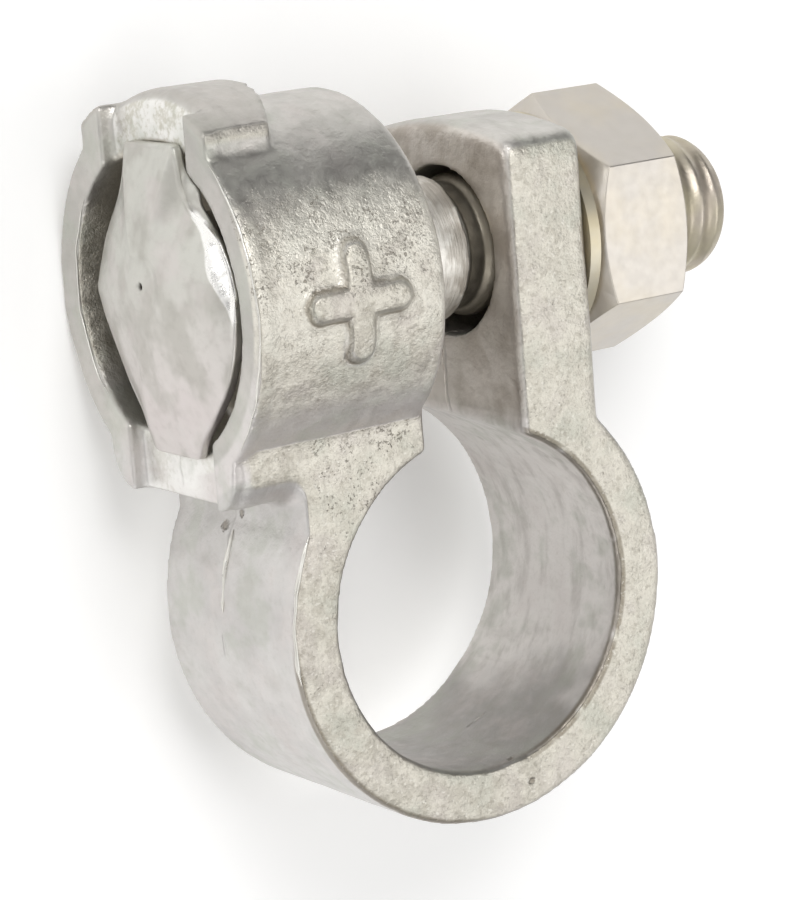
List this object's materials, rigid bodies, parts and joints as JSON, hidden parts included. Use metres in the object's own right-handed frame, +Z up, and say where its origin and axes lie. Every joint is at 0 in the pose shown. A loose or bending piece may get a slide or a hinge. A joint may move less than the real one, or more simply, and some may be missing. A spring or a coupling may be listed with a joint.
{
  "type": "battery terminal clamp",
  "caption": "Cast clamp for a car battery's positive post: a tapered split ring with an ear and a slotted barrel lug, drawn together by a bolt and nut.",
  "frame": {"origin": "on the axis of the post bore, in the plane of the bottom face", "axes": "+Z up the battery post to the small end of the bore, +X along the clamping bolt towards its nut, +Y from the post to the bolt"},
  "size_m": [0.0369, 0.041, 0.0202],
  "materials": {
    "casting": "as-cast pale grey tin-plated alloy, sandy, with a faint warm tint",
    "bolt_metal": "plated steel, dull and slightly scuffed",
    "washer_metal": "yellow-passivated zinc on steel",
    "nut_metal": "zinc-plated steel, satin"
  },
  "bodies": {
    "clamp": {"clamp_body": "casting", "bolt": "bolt_metal"},
    "washer": {"washer": "washer_metal"},
    "nut": {"nut": "nut_metal"}
  },
  "joints": [
    {"name": "washer_travel", "type": "slide", "parent": "clamp", "child": "washer", "axis": [1, 0, 0], "range_m": [0, 0.005]},
    {"name": "nut_turn", "type": "hinge", "parent": "washer", "child": "nut", "pos_m": [0.0127, 0.01825, 0.0065], "axis": [1, 0, 0], "range_deg": [0, 1440]}
  ],
  "couplings": [
    {"joint": "nut_turn", "follows": "washer_travel", "rad_per_m": 5026.5}
  ]
}
